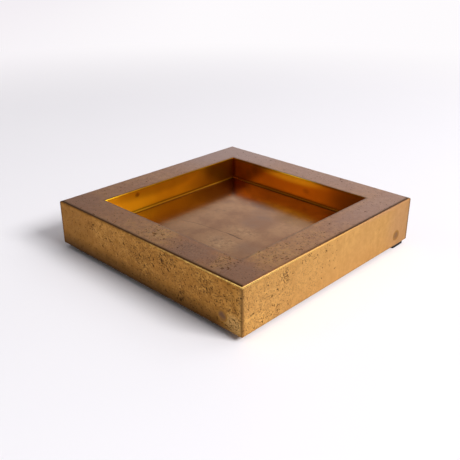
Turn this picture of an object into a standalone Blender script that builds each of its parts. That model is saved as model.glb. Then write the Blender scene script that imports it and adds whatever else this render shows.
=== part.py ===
"""Square cast brass tray on four stick-on pads, modelled as its separate pieces.

Metres, +Z up. The origin is on the table, under the middle of the tray. -Y is the side at the left of the front
corner, and +X the side at its right.
"""

import math

import bmesh
import bpy

# Sizes of the whole tray, from its lower brass edge up
TRAY_SIDE = 0.200
BODY_HEIGHT = 0.0375
RIM_WIDTH = 0.026
RECESS_DEPTH = 0.0195

# Clearance left wherever two pieces meet, and how far a cutter runs past what it cuts
FIT_GAP = 0.0003
OVERRUN = 0.002

# Cast frame: its walls, the flange that the floor plate hangs from, and the rounding of its edges
OUTER_WALL = 0.004
TOP_WALL = 0.004
INNER_WALL = 0.0035
FLANGE_REACH = 0.0065
FLANGE_THICKNESS = 0.004
OUTER_EDGE_RADIUS = 0.0015
CORNER_RADIUS = 0.002
RIM_EDGE_RADIUS = 0.0007
FOOT_FILLET = 0.0012

# Floor plate, with a shallow step that centres it in the frame
FLOOR_THICKNESS = 0.003
FLOOR_STEP = 0.0008

# Base plate
BASE_THICKNESS = 0.0025
BASE_CORNER_RADIUS = 0.001

# Corner blocks and the pins that hold them to the sides
PIN_RADIUS = 0.0045
PIN_CHAMFER = 0.0006
PIN_FROM_CORNER = 0.0175
BLOCK_WEB = 0.0024
BLOCK_EDGE = 0.0005

# Countersunk slotted screws of the base plate and of the floor plate
BASE_SCREW_RADIUS = 0.00175
BASE_SCREW_HEAD = 0.0032
FLOOR_SCREW_RADIUS = 0.0014
FLOOR_SCREW_HEAD = 0.0026
FLOOR_SCREW_FROM_CORNER = 0.024
SCREW_HEAD_LIP = 0.0002
SCREW_TIP_CHAMFER = 0.0004
SCREW_END_WEB = 0.0009
SLOT_WIDTH = 0.0007
SLOT_DEPTH = 0.0006

# Pads: three are set well in, and the one at the right corner was stuck on close to the edge
PAD_SIDE = 0.015
PAD_THICKNESS = 0.0027
PAD_CORNER_RADIUS = 0.0012
PAD_EDGE = 0.0003
PAD_INSET = 0.0065
RIGHT_PAD_INSET_X = 0.0013
RIGHT_PAD_INSET_Y = 0.0025

# How finely round shapes are cut
PIN_STEPS = 32
SCREW_STEPS = 20
ARC_STEPS = 4
EDGE_STEPS = 1
SQUARE_STEPS = 4

# Heights that follow from the sizes above
LOWER_EDGE = PAD_THICKNESS + FIT_GAP
RIM_TOP = LOWER_EDGE + BODY_HEIGHT
CHANNEL_TOP = RIM_TOP - TOP_WALL
FLOOR_TOP = RIM_TOP - RECESS_DEPTH
FLOOR_SHOULDER = FLOOR_TOP - FLOOR_STEP
FLOOR_UNDERSIDE = FLOOR_TOP - FLOOR_THICKNESS
FLANGE_BOTTOM = FLOOR_SHOULDER + FIT_GAP
FLANGE_TOP = FLANGE_BOTTOM + FLANGE_THICKNESS
BASE_TOP = LOWER_EDGE + BASE_THICKNESS
BLOCK_BOTTOM = BASE_TOP + FIT_GAP
PIN_HEIGHT = BLOCK_BOTTOM + BLOCK_WEB + PIN_RADIUS
BLOCK_TOP = PIN_HEIGHT + PIN_RADIUS + BLOCK_WEB

# Distances from the middle of the tray, straight out to a side
HALF_SIDE = TRAY_SIDE / 2
RECESS_HALF = HALF_SIDE - RIM_WIDTH
CHANNEL_INNER = RECESS_HALF + INNER_WALL
FLANGE_END = CHANNEL_INNER + FLANGE_REACH
CHANNEL_OUTER = HALF_SIDE - OUTER_WALL
BLOCK_INNER = FLANGE_END + FIT_GAP
BLOCK_OUTER = CHANNEL_OUTER - FIT_GAP
BLOCK_MIDDLE = (BLOCK_INNER + BLOCK_OUTER) / 2
PIN_END = BLOCK_INNER + BLOCK_WEB
FLOOR_SCREW_OUT = (RECESS_HALF + FLANGE_END) / 2

# Distances from the middle of the tray, along a side
PIN_ALONG = HALF_SIDE - PIN_FROM_CORNER
BASE_SCREW_ALONG = PIN_ALONG - PIN_RADIUS - BLOCK_WEB - BASE_SCREW_RADIUS
BLOCK_END = BASE_SCREW_ALONG - BASE_SCREW_RADIUS - BLOCK_WEB
FLOOR_SCREW_ALONG = RECESS_HALF - FLOOR_SCREW_FROM_CORNER

# Corners in turn, each a quarter turn on from the one before. The pin of the front corner is in the -Y side
CORNERS = ("front", "right", "back", "left")
QUARTER_TURN = math.pi / 2


def clear_scene():
    for old in list(bpy.data.objects):
        bpy.data.objects.remove(old, do_unlink=True)


def new_collection(name, helpers_only=False):
    made = bpy.data.collections.new(name)
    made.hide_render = helpers_only
    bpy.context.scene.collection.children.link(made)
    return made


def new_material(name, colour, roughness, metallic):
    made = bpy.data.materials.new(name)
    made.use_nodes = True
    shader = made.node_tree.nodes["Principled BSDF"]
    shader.inputs["Base Color"].default_value = (*colour, 1)
    shader.inputs["Roughness"].default_value = roughness
    shader.inputs["Metallic"].default_value = metallic
    made.diffuse_color = (*colour, 1)
    return made


def cast_brass():
    return new_material("cast_brass", (0.52, 0.33, 0.14), 0.42, 1)


def floor_brass():
    return new_material("floor_brass", (0.55, 0.36, 0.17), 0.36, 1)


def plate_brass():
    return new_material("plate_brass", (0.58, 0.40, 0.17), 0.45, 1)


def block_brass():
    return new_material("block_brass", (0.62, 0.44, 0.19), 0.40, 1)


def pin_brass():
    return new_material("pin_brass", (0.40, 0.26, 0.14), 0.50, 1)


def screw_brass():
    return new_material("screw_brass", (0.66, 0.48, 0.21), 0.35, 1)


def black_rubber():
    return new_material("black_rubber", (0.02, 0.02, 0.022), 0.75, 0)


def new_object(name, mesh, collection, material=None):
    made = bpy.data.objects.new(name, mesh)
    collection.objects.link(made)
    if material is not None:
        mesh.materials.append(material)
    return made


def on_level_face(edge):
    for face in edge.link_faces:
        face.normal_update()
    return any(abs(face.normal.z) > abs(face.normal.x) + abs(face.normal.y) for face in edge.link_faces)


def round_off(cage, edges, radius, steps):
    bmesh.ops.bevel(
        cage,
        geom=edges,
        offset=radius,
        offset_type="OFFSET",
        segments=steps,
        profile=0.5,
        affect="EDGES",
        clamp_overlap=True,
    )


def box(name, low, high, collection, material=None, upright=None, level=None):
    """A box between two corners. upright and level round those edges, each as (radius, steps)."""
    mesh = bpy.data.meshes.new(name)
    cage = bmesh.new()
    bmesh.ops.create_cube(cage, size=1)
    bmesh.ops.scale(cage, vec=[b - a for a, b in zip(low, high)], verts=cage.verts)
    if upright is not None:
        round_off(cage, [edge for edge in cage.edges if not on_level_face(edge)], *upright)
    if level is not None:
        round_off(cage, [edge for edge in cage.edges if on_level_face(edge)], *level)
    cage.to_mesh(mesh)
    cage.free()
    made = new_object(name, mesh, collection, material)
    made.location = [(a + b) / 2 for a, b in zip(low, high)]
    return made


def turned(name, profile, steps, collection, material=None):
    """A profile of (radius, height) points, given from the top down, turned about Z."""
    mesh = bpy.data.meshes.new(name)
    outline = bmesh.new()
    points = [outline.verts.new((radius, 0, height)) for radius, height in profile]
    for first, second in zip(points, points[1:]):
        outline.edges.new((first, second))
    outline.to_mesh(mesh)
    outline.free()
    made = new_object(name, mesh, collection, material)
    turn = made.modifiers.new("turn", "SCREW")
    turn.axis = "Z"
    turn.angle = 2 * math.pi
    turn.steps = steps
    turn.render_steps = steps
    turn.use_merge_vertices = True
    turn.merge_threshold = 0.00001
    turn.use_smooth_shade = False
    return made


def squared(name, profile, collection, material=None):
    """The same for a square piece: four steps, from a profile of (half side, height) points."""
    to_corner = math.sqrt(2)
    reached = [(half * to_corner, height) for half, height in profile]
    made = turned(name, reached, SQUARE_STEPS, collection, material)
    made.rotation_euler.z = QUARTER_TURN / 2
    return made


def arc(centre, radius, start, end):
    """Points of an arc in a profile, between two angles in quarter turns from straight out."""
    turns = [start + (end - start) * step / ARC_STEPS for step in range(ARC_STEPS + 1)]
    return [
        (
            centre[0] + radius * math.cos(turn * QUARTER_TURN),
            centre[1] + radius * math.sin(turn * QUARTER_TURN),
        )
        for turn in turns
    ]


def rod(radius, length, chamfer):
    """Profile of a plain rod that stands on the origin, chamfered at its far end."""
    return [(0, length), (radius - chamfer, length), (radius, length - chamfer), (radius, 0), (0, 0)]


def countersunk(radius, head, length, chamfer):
    """Profile of a countersunk screw, its head's flat face at the origin and its tip pointing up."""
    cone_end = SCREW_HEAD_LIP + head - radius
    return [
        (0, length),
        (radius - chamfer, length),
        (radius, length - chamfer),
        (radius, cone_end),
        (head, SCREW_HEAD_LIP),
        (head, 0),
        (0, 0),
    ]


def place(obj, location, quarter, rotation=(0, 0, 0)):
    obj.parent = quarter
    obj.location = location
    obj.rotation_euler = rotation
    return obj


def cut(obj, cutter):
    """Takes the cutter's shape out of the object, and keeps the cutter as a hidden helper."""
    cutter.hide_render = True
    cutter.display_type = "WIRE"
    taken = obj.modifiers.new(cutter.name, "BOOLEAN")
    taken.operation = "DIFFERENCE"
    taken.solver = "EXACT"
    taken.object = cutter


def smooth(mesh):
    mesh.shade_smooth()
    mesh.set_sharp_from_angle(angle=QUARTER_TURN / 3)


def shared_mesh(master):
    """The mesh that a master's modifiers give, for its copies to share. The master itself goes."""
    bpy.context.view_layer.update()
    graph = bpy.context.evaluated_depsgraph_get()
    made = bpy.data.meshes.new_from_object(master.evaluated_get(graph))
    made.name = master.name
    smooth(made)
    bpy.data.objects.remove(master, do_unlink=True)
    return made


def cut_pin_hole(obj, corner, quarter, cutters):
    """The hole that a flush pin goes through, in from the side and a little past the pin's end."""
    reach = HALF_SIDE + OVERRUN - PIN_END
    profile = rod(PIN_RADIUS + FIT_GAP, reach + FIT_GAP, 0)
    cutter = turned(f"{obj.name}_pin_hole_{corner}", profile, PIN_STEPS, cutters)
    cut(obj, place(cutter, (PIN_ALONG, -HALF_SIDE - OVERRUN, PIN_HEIGHT), quarter, FACING_IN))


def cut_screw_hole(obj, name, location, quarter, cutters, size):
    """The hole of a countersunk screw, its mouth run on past the face that the head is flush with."""
    radius, head, length = size
    profile = countersunk(radius + FIT_GAP, head + FIT_GAP, length + FIT_GAP, 0)
    mouth = [(head + FIT_GAP, -OVERRUN), (0, -OVERRUN)]
    cutter = turned(f"{obj.name}_{name}", profile[:-2] + mouth, SCREW_STEPS, cutters)
    cut(obj, place(cutter, location, quarter))


def floor_screw_places():
    """(number, corner index, distance along the side) of each floor screw."""
    spots = [(corner, along) for corner in range(len(CORNERS)) for along in (-FLOOR_SCREW_ALONG, FLOOR_SCREW_ALONG)]
    return [(number, corner, along) for number, (corner, along) in enumerate(spots, start=1)]


def make_cast_frame(parts, cutters, quarters):
    """The casting: a rounded block, less the recess, the hollow underneath and the pin and screw holes."""
    frame = box(
        "cast_frame",
        (-HALF_SIDE, -HALF_SIDE, LOWER_EDGE),
        (HALF_SIDE, HALF_SIDE, RIM_TOP),
        parts,
        cast_brass(),
        upright=(CORNER_RADIUS, ARC_STEPS),
        level=(OUTER_EDGE_RADIUS, ARC_STEPS),
    )
    rim_edge = (RECESS_HALF + RIM_EDGE_RADIUS, RIM_TOP - RIM_EDGE_RADIUS)
    foot = (RECESS_HALF - FOOT_FILLET, FLOOR_TOP + FOOT_FILLET)
    recess = [
        (0, RIM_TOP + OVERRUN),
        (rim_edge[0], RIM_TOP + OVERRUN),
        *arc(rim_edge, RIM_EDGE_RADIUS, 1, 2),
        *arc(foot, FOOT_FILLET, 0, -1),
        (foot[0], FLANGE_BOTTOM - OVERRUN),
        (0, FLANGE_BOTTOM - OVERRUN),
    ]
    hollow = [
        (0, FLANGE_BOTTOM),
        (FLANGE_END, FLANGE_BOTTOM),
        (FLANGE_END, FLANGE_TOP),
        (CHANNEL_INNER, FLANGE_TOP),
        (CHANNEL_INNER, CHANNEL_TOP),
        (CHANNEL_OUTER, CHANNEL_TOP),
        (CHANNEL_OUTER, LOWER_EDGE - OVERRUN),
        (0, LOWER_EDGE - OVERRUN),
    ]
    cut(frame, squared("recess", recess, cutters))
    cut(frame, squared("hollow", hollow, cutters))
    for corner, quarter in zip(CORNERS, quarters):
        cut_pin_hole(frame, corner, quarter, cutters)
    for number, corner, along in floor_screw_places():
        spot = (along, -FLOOR_SCREW_OUT, FLOOR_UNDERSIDE)
        cut_screw_hole(frame, f"hole_{number}", spot, quarters[corner], cutters, FLOOR_SCREW)


def make_floor_plate(parts, cutters, quarters):
    """The recess floor: a plate whose raised middle sits inside the foot of the walls."""
    panel_half = RECESS_HALF - FOOT_FILLET - FIT_GAP
    plate_half = FLANGE_END - FIT_GAP
    profile = [
        (0, FLOOR_TOP),
        (panel_half, FLOOR_TOP),
        (panel_half, FLOOR_SHOULDER),
        (plate_half, FLOOR_SHOULDER),
        (plate_half, FLOOR_UNDERSIDE),
        (0, FLOOR_UNDERSIDE),
    ]
    plate = squared("floor_plate", profile, parts, floor_brass())
    for number, corner, along in floor_screw_places():
        spot = (along, -FLOOR_SCREW_OUT, FLOOR_UNDERSIDE)
        cut_screw_hole(plate, f"hole_{number}", spot, quarters[corner], cutters, FLOOR_SCREW)


def make_base_plate(parts, cutters, quarters):
    """The plate that closes the hollow, flush with the lower edge of the sides."""
    plate = box(
        "base_plate",
        (-BLOCK_OUTER, -BLOCK_OUTER, LOWER_EDGE),
        (BLOCK_OUTER, BLOCK_OUTER, BASE_TOP),
        parts,
        plate_brass(),
        upright=(BASE_CORNER_RADIUS, ARC_STEPS),
    )
    for corner, quarter in zip(CORNERS, quarters):
        spot = (BASE_SCREW_ALONG, -BLOCK_MIDDLE, LOWER_EDGE)
        cut_screw_hole(plate, f"hole_{corner}", spot, quarter, cutters, BASE_SCREW)


def make_corner_blocks(parts, cutters, quarters):
    """A block in each corner of the hollow, drilled for its pin and for the base plate's screw."""
    master = box(
        "corner_block",
        (BLOCK_END, -BLOCK_OUTER, BLOCK_BOTTOM),
        (BLOCK_OUTER, -BLOCK_INNER, BLOCK_TOP),
        parts,
        block_brass(),
        upright=(BLOCK_EDGE, EDGE_STEPS),
        level=(BLOCK_EDGE, EDGE_STEPS),
    )
    middle = master.location.copy()
    cut_pin_hole(master, "master", None, cutters)
    spot = (BASE_SCREW_ALONG, -BLOCK_MIDDLE, LOWER_EDGE)
    cut_screw_hole(master, "hole", spot, None, cutters, BASE_SCREW)
    mesh = shared_mesh(master)
    for corner, quarter in zip(CORNERS, quarters):
        place(new_object("corner_block_" + corner, mesh, parts), middle, quarter)


def make_flush_pins(parts, quarters):
    """A pin through each side into its corner block, ground flush with the side."""
    profile = rod(PIN_RADIUS, HALF_SIDE - PIN_END, PIN_CHAMFER)
    mesh = shared_mesh(turned("flush_pin", profile, PIN_STEPS, parts, pin_brass()))
    for corner, quarter in zip(CORNERS, quarters):
        pin = new_object("flush_pin_" + corner, mesh, parts)
        place(pin, (PIN_ALONG, -HALF_SIDE, PIN_HEIGHT), quarter, FACING_IN)


def screw_mesh(name, size, parts, cutters, material):
    """A countersunk screw with a slot across its head."""
    radius, head, length = size
    screw = turned(name, countersunk(radius, head, length, SCREW_TIP_CHAMFER), SCREW_STEPS, parts, material)
    reach = head + OVERRUN
    slot = box(
        name + "_slot",
        (-reach, -SLOT_WIDTH / 2, -OVERRUN),
        (reach, SLOT_WIDTH / 2, SLOT_DEPTH),
        cutters,
    )
    cut(screw, slot)
    return shared_mesh(screw)


def make_screws(parts, cutters, quarters):
    """Four screws hold the base plate to the blocks, and eight hold the floor plate to the flange."""
    brass = screw_brass()
    base = screw_mesh("base_screw", BASE_SCREW, parts, cutters, brass)
    for corner, quarter in zip(CORNERS, quarters):
        screw = new_object("base_screw_" + corner, base, parts)
        place(screw, (BASE_SCREW_ALONG, -BLOCK_MIDDLE, LOWER_EDGE), quarter)
    floor = screw_mesh("floor_screw", FLOOR_SCREW, parts, cutters, brass)
    for number, corner, along in floor_screw_places():
        screw = new_object(f"floor_screw_{number}", floor, parts)
        place(screw, (along, -FLOOR_SCREW_OUT, FLOOR_UNDERSIDE), quarters[corner])


def make_foot_pads(parts, quarters):
    """A stick-on pad under each corner. Each inset is from the side with the pin, then from the next side."""
    insets = {corner: (PAD_INSET, PAD_INSET) for corner in CORNERS}
    insets["right"] = (RIGHT_PAD_INSET_X, RIGHT_PAD_INSET_Y)
    master = box(
        "foot_pad",
        (-PAD_SIDE / 2, -PAD_SIDE / 2, 0),
        (PAD_SIDE / 2, PAD_SIDE / 2, PAD_THICKNESS),
        parts,
        black_rubber(),
        upright=(PAD_CORNER_RADIUS, ARC_STEPS),
        level=(PAD_EDGE, EDGE_STEPS),
    )
    height = master.location.z
    mesh = shared_mesh(master)
    for corner, quarter in zip(CORNERS, quarters):
        from_pin_side, from_next_side = insets[corner]
        along = HALF_SIDE - from_next_side - PAD_SIDE / 2
        out = HALF_SIDE - from_pin_side - PAD_SIDE / 2
        place(new_object("foot_pad_" + corner, mesh, parts), (along, -out, height), quarter)


def make_quarters(parts):
    """An empty for each corner, turned so that what is placed for the front corner lands in its own."""
    quarters = []
    for index, corner in enumerate(CORNERS):
        quarter = new_object("quarter_" + corner, None, parts)
        quarter.rotation_euler.z = index * QUARTER_TURN
        quarters.append(quarter)
    return quarters


# A piece that is turned about Z points in from the -Y side once it has this rotation
FACING_IN = (-QUARTER_TURN, 0, 0)

# Each screw as its shank's radius, its head's radius and its length. The tip stops short of the metal's end
BASE_SCREW = (BASE_SCREW_RADIUS, BASE_SCREW_HEAD, BLOCK_TOP - SCREW_END_WEB - LOWER_EDGE)
FLOOR_SCREW = (FLOOR_SCREW_RADIUS, FLOOR_SCREW_HEAD, FLANGE_TOP - SCREW_END_WEB - FLOOR_UNDERSIDE)

clear_scene()
tray = new_collection("tray")
helpers = new_collection("cutters", helpers_only=True)
quarter_turns = make_quarters(tray)
make_cast_frame(tray, helpers, quarter_turns)
make_floor_plate(tray, helpers, quarter_turns)
make_base_plate(tray, helpers, quarter_turns)
make_corner_blocks(tray, helpers, quarter_turns)
make_flush_pins(tray, quarter_turns)
make_screws(tray, helpers, quarter_turns)
make_foot_pads(tray, quarter_turns)
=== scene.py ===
"""The looks of the square brass tray, piece by piece, and of the studio that it stands in."""

import math

import bmesh
import bpy
import numpy as np
from mathutils import Matrix, Vector, noise


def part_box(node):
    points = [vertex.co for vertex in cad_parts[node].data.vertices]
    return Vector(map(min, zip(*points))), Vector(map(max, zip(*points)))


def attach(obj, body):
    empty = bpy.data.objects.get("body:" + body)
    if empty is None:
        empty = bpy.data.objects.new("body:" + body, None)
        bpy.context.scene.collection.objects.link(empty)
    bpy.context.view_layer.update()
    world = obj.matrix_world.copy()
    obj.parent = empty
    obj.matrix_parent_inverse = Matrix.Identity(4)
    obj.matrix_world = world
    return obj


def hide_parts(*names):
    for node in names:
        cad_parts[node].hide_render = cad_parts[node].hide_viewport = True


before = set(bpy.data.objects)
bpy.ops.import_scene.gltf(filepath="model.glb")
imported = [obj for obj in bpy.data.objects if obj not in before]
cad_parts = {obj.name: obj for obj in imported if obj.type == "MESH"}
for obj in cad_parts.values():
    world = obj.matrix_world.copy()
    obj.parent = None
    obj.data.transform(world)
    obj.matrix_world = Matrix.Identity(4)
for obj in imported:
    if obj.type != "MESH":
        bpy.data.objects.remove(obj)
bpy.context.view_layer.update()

# Camera: a 50 mm lens at about half a metre, level, looking down on the front corner of the tray. Its aim was
# found from the straight edges of the tray and is kept as the place of the lens and its three axes.
LENS_PLACE = Vector((0.3283, -0.3471, 0.2357))
LENS_RIGHT = Vector((0.7201, 0.6938, -0.0023))
LENS_UP = Vector((-0.2916, 0.3056, 0.9064))
LENS_BACK = Vector((0.6296, -0.6521, 0.4224))
LENS_LENGTH = 50.11
SENSOR_WIDTH = 36
NEAREST_SEEN = 0.01

camera = bpy.data.objects.new("camera", bpy.data.cameras.new("camera"))
bpy.context.scene.collection.objects.link(camera)
camera.data.lens = LENS_LENGTH
camera.data.sensor_width = SENSOR_WIDTH
camera.data.clip_start = NEAREST_SEEN
axes = Matrix((LENS_RIGHT, LENS_UP, LENS_BACK)).transposed()
camera.matrix_world = Matrix.LocRotScale(LENS_PLACE, axes.to_quaternion(), Vector((1, 1, 1)))
bpy.context.scene.camera = camera


# Cast frame: one brass casting, a ring of channel section that is open underneath. It was filed and sanded by
# hand, so its edges are softly rounded, its faces wander a little and the casting pits stay open.
low, high = (Vector(corner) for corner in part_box("cast_frame"))
HALF_SIDE = high.x
RIM_TOP = high.z
LOWER_EDGE = low.z
FLOOR_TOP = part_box("floor_plate")[1][2]
RIM_WIDTH = 0.026
OUTER_WALL = 0.004
TOP_WALL = 0.004
INNER_WALL = 0.0035
FLANGE_REACH = 0.0065
FLANGE_TOP = 0.0245
FLANGE_BOTTOM = 0.0205
FOOT_FILLET = 0.0012
FILLET_STEPS = 4
CORNER_RADIUS = 0.002
CORNER_STEPS = 5
OUTER_EDGE_RADIUS = 0.0015
OUTER_EDGE_STEPS = 4
RIM_EDGE_RADIUS = 0.0007
RIM_EDGE_STEPS = 3
RECESS_HALF = HALF_SIDE - RIM_WIDTH
RIM_INNER = RECESS_HALF + RIM_EDGE_RADIUS
CHANNEL_INNER = RECESS_HALF + INNER_WALL
CHANNEL_TOP = RIM_TOP - TOP_WALL
FLANGE_END = CHANNEL_INNER + FLANGE_REACH
PIN_RADIUS = 0.0045
PIN_SEAM = 0.00006
PIN_ALONG = 0.0825
PIN_HEIGHT = 0.0127
PIN_SPACE = 0.006
PIN_BORE = 0.0039
# The cells that the skin is divided into, and how nearly two places have to agree to count as one.
CELL = 0.00122
CORNER_CELL = 0.0025
SAME = 0.00001
NEAR = 0.0001


def add_cube(name, low, high):
    """A cube primitive between two corners, alone and in edit mode."""
    bpy.ops.object.select_all(action="DESELECT")
    bpy.ops.mesh.primitive_cube_add(size=1, location=(low + high) / 2)
    piece = bpy.context.object
    piece.name = piece.data.name = name
    piece.scale = high - low
    bpy.ops.object.transform_apply(location=True, rotation=True, scale=True)
    bpy.ops.object.mode_set(mode="EDIT")
    return piece


def pick(piece, kind, test):
    """Selects the vertices, edges or faces for which the test holds."""
    bpy.ops.mesh.select_mode(type={"verts": "VERT", "edges": "EDGE", "faces": "FACE"}[kind])
    bpy.ops.mesh.select_all(action="DESELECT")
    cage = bmesh.from_edit_mesh(piece.data)
    for part in getattr(cage, kind):
        if test(part):
            part.select_set(True)
    bmesh.update_edit_mesh(piece.data)


def is_top(face):
    """True for a face that looks straight up."""
    return face.normal.z > 0.9


def is_underside(face):
    """True for a face that looks straight down."""
    return face.normal.z < -0.9


def lift(height):
    """Extrudes the picked face straight up by a height, or down if that is negative."""
    bpy.ops.mesh.extrude_region_move(TRANSFORM_OT_translate={"value": (0, 0, height)})


def spread(scale, centre=(0, 0, 0)):
    """Scales what is picked, sideways only, about an upright line through a centre."""
    bpy.ops.transform.resize(value=(scale, scale, 1), center_override=centre)


def round_down(centre_half, centre_height, radius, start, end, steps):
    """Carries the picked level face down along an arc of the wall's section, from one angle to another."""
    half = centre_half + radius * math.cos(start)
    height = centre_height + radius * math.sin(start)
    for step in range(1, steps + 1):
        angle = start + (end - start) * step / steps
        next_half = centre_half + radius * math.cos(angle)
        next_height = centre_height + radius * math.sin(angle)
        lift(next_height - height)
        spread(next_half / half)
        half, height = next_half, next_height


def quarter_turns(turns, size=3):
    """The rotation by a number of quarter turns about the upright axis of the tray."""
    return Matrix.Rotation(math.radians(90 * turns), size, "Z")


def reach_of(place):
    """How far out from the middle of the tray a place lies, square to the nearer side."""
    return max(abs(place.x), abs(place.y))


def spans(edge):
    """How far an edge runs along each axis."""
    return [abs(length) for length in edge.verts[1].co - edge.verts[0].co]


SIDE_DEPTH = 0.003


def is_skin(places):
    """True if all these places lie on the sides, rim and recess walls that show."""
    inside = all(reach_of(place) < RIM_INNER + NEAR for place in places)
    outside = all(reach_of(place) > HALF_SIDE - SIDE_DEPTH for place in places)
    on_top = all(place.z > RIM_TOP - NEAR for place in places)
    return (inside or outside or on_top) and all(place.z > LOWER_EDGE + NEAR or outside for place in places)


body = add_cube("cast_body", low, high)
pick(body, "faces", is_top)
bpy.ops.mesh.inset(thickness=HALF_SIDE - RIM_INNER)
round_down(
    RIM_INNER, RIM_TOP - RIM_EDGE_RADIUS, RIM_EDGE_RADIUS, math.radians(90), math.radians(180), RIM_EDGE_STEPS)
lift(FLOOR_TOP + FOOT_FILLET - RIM_TOP + RIM_EDGE_RADIUS)
round_down(RECESS_HALF - FOOT_FILLET, FLOOR_TOP + FOOT_FILLET, FOOT_FILLET, 0, math.radians(-90), FILLET_STEPS)
lift(FLANGE_BOTTOM - FLOOR_TOP)
bpy.ops.mesh.delete(type="FACE")
pick(body, "faces", is_underside)
bpy.ops.mesh.inset(thickness=OUTER_WALL)
lift(CHANNEL_TOP - LOWER_EDGE)
bpy.ops.mesh.inset(thickness=HALF_SIDE - OUTER_WALL - CHANNEL_INNER)
lift(FLANGE_TOP - CHANNEL_TOP)
lift(0)
spread(FLANGE_END / CHANNEL_INNER)
lift(FLANGE_BOTTOM - FLANGE_TOP)
bpy.ops.mesh.inset(thickness=FLANGE_END - RECESS_HALF + FOOT_FILLET)
bpy.ops.mesh.delete(type="FACE")
bpy.ops.mesh.select_all(action="SELECT")
bpy.ops.mesh.remove_doubles(threshold=SAME)

# The skin is cut into bands: at the middle, at the mouth, just short of the corners, and round the pins.
CUTS = (0, RIM_INNER, PIN_ALONG - PIN_SPACE, PIN_ALONG + PIN_SPACE, HALF_SIDE - CORNER_CELL)
LEVEL_CUTS = sorted({-cut for cut in CUTS} | set(CUTS))
PIN_BAND = (PIN_HEIGHT - PIN_SPACE, PIN_HEIGHT + PIN_SPACE)
for axis, cuts in ((0, LEVEL_CUTS), (1, LEVEL_CUTS), (2, PIN_BAND)):
    for cut_at in cuts:
        across = Vector([float(axis == each) for each in range(3)])
        pick(body, "faces", lambda face: is_skin([corner.co for corner in face.verts]))
        bpy.ops.mesh.bisect(plane_co=across * cut_at, plane_no=across, threshold=SAME)
pick(body, "edges", lambda edge: all(
    corner.co.z > RIM_TOP - NEAR and abs(abs(corner.co.x) - abs(corner.co.y)) < SAME for corner in edge.verts))
bpy.ops.mesh.dissolve_edges(use_verts=False)


def on_arris(edge, height):
    """True for an edge of the outer sides' outline at a height."""
    return all(abs(corner.co.z - height) < SAME for corner in edge.verts) and sorted(
        abs(face.normal.z) > 0.5 for face in edge.link_faces) == [False, True] and (
        min(reach_of(corner.co) for corner in edge.verts) > HALF_SIDE - CORNER_RADIUS)


CORNER_EDGE_LENGTH = 0.03
pick(body, "edges", lambda edge: spans(edge)[2] > CORNER_EDGE_LENGTH and all(
    min(abs(corner.co.x), abs(corner.co.y)) > HALF_SIDE - NEAR for corner in edge.verts))
bpy.ops.mesh.bevel(offset=CORNER_RADIUS, segments=CORNER_STEPS, clamp_overlap=False)
pick(body, "edges", lambda edge: on_arris(edge, RIM_TOP) or on_arris(edge, LOWER_EDGE))
bpy.ops.mesh.bevel(offset=OUTER_EDGE_RADIUS, segments=OUTER_EDGE_STEPS, clamp_overlap=False)

# Each band is divided into square cells.
BAND_SLACK = 0.002
SHORTEST_SPAN = 0.0003
level_bands = list(zip(LEVEL_CUTS, LEVEL_CUTS[1:]))
upright_bands = (
    (LOWER_EDGE + OUTER_EDGE_RADIUS, PIN_BAND[0]), PIN_BAND, (PIN_BAND[1], RIM_TOP - OUTER_EDGE_RADIUS),
    (FLOOR_TOP + FOOT_FILLET, RIM_TOP - RIM_EDGE_RADIUS))
for axis, bands in ((2, upright_bands), (0, level_bands), (1, level_bands)):
    for start, end in bands:
        def crosses(edge):
            first, second = (corner.co for corner in edge.verts)
            ends = sorted((first[axis], second[axis]))
            if abs(ends[0] - start) > BAND_SLACK or abs(ends[1] - end) > BAND_SLACK:
                return False
            return sum(span > SHORTEST_SPAN for span in spans(edge)) == 1 and is_skin([first, second])
        pick(body, "edges", crosses)
        if round((end - start) / CELL) > 1:
            bpy.ops.mesh.subdivide(number_cuts=round((end - start) / CELL) - 1)

# Each pin's hole is opened in the divided side: the cells over it go, and the edge round them becomes a circle.
pin_places = [quarter_turns(turn) @ Vector((PIN_ALONG, -HALF_SIDE, PIN_HEIGHT)) for turn in range(4)]
for turn, middle in enumerate(pin_places):
    pick(body, "faces", lambda face: (face.calc_center_median() - middle).length < PIN_RADIUS)
    bpy.ops.mesh.delete(type="FACE")
    pick(body, "edges", lambda edge: edge.is_boundary)
    cage = bmesh.from_edit_mesh(body.data)
    for corner in [corner for corner in cage.verts if corner.select]:
        corner.co = middle + (corner.co - middle).normalized() * (PIN_RADIUS + PIN_SEAM)
    bmesh.update_edit_mesh(body.data)
    inward = quarter_turns(turn) @ Vector((0, PIN_BORE, 0))
    bpy.ops.mesh.extrude_region_move(TRANSFORM_OT_translate={"value": inward})
    bpy.ops.mesh.edge_face_add()
bpy.ops.object.mode_set(mode="OBJECT")


def read_vertices(piece, what="co"):
    """The places of a piece's vertices, or their normals, as an array with one row for each."""
    values = np.empty(len(piece.data.vertices) * 3)
    piece.data.vertices.foreach_get(what, values)
    return values.reshape(-1, 3)


def move_vertices(piece, places):
    """Puts the vertices of a piece in new places."""
    piece.data.vertices.foreach_set("co", places.ravel())
    piece.data.update()


def reaches(places):
    """How far out from the middle of the tray each place lies, square to the nearer side."""
    return np.abs(places[:, :2]).max(axis=1)


def in_patches(places, patches):
    """How strongly each place lies in soft patches. A patch is its centre and its reach, in millimetres along the
    three axes, and its strength."""
    total = np.zeros(len(places))
    for *spot, strength in patches:
        centre, reach = np.array(spot).reshape(2, 3) / 1000
        away = (((places - centre) / reach) ** 2).sum(axis=1)
        total = np.maximum(total, strength * np.exp(-away ** 2))
    return total


def stray(places, length, amount):
    """A shift for each place, at random, but much the same for places that are nearer together than a length."""
    return np.array([noise.noise_vector(Vector(place) / length) for place in places]) * amount


def along_faces(shifts, facing):
    """The shifts without the part of them that leads out of the faces."""
    return shifts - facing * (shifts * facing).sum(axis=1)[:, None]


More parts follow.
